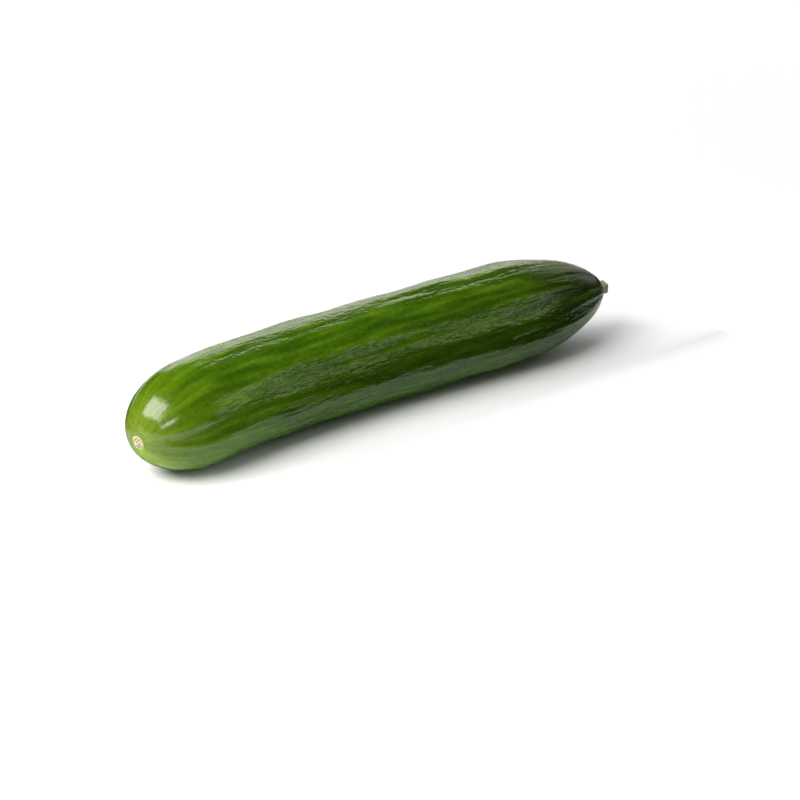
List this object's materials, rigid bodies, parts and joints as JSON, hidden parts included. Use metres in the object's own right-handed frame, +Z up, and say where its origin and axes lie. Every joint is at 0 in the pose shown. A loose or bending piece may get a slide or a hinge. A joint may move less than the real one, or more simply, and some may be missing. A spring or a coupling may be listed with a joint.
{
  "type": "cucumber",
  "caption": "Whole long greenhouse cucumber lying on its side, with soft wavering ribs, a dry flower scar at one end and a cut stalk stub at the other.",
  "frame": {"origin": "on the surface that the cucumber lies on, under the middle of its length and width, the stalk stub included", "axes": "+X runs along the cucumber from the blossom end to the stalk end, +Z is up, +Y is to the left of someone who looks from the blossom end to the stalk end"},
  "size_m": [0.3015, 0.059, 0.0526],
  "materials": {
    "skin": "waxy fresh green skin, glossy over soft ribs, yellow-green at the blossom end and dark green at the stalk end",
    "stalk": "dull grey-green drying stalk, ridged, with a pale cut end"
  },
  "bodies": {
    "root": {"fruit": "skin", "stalk": "stalk"}
  },
  "joints": []
}
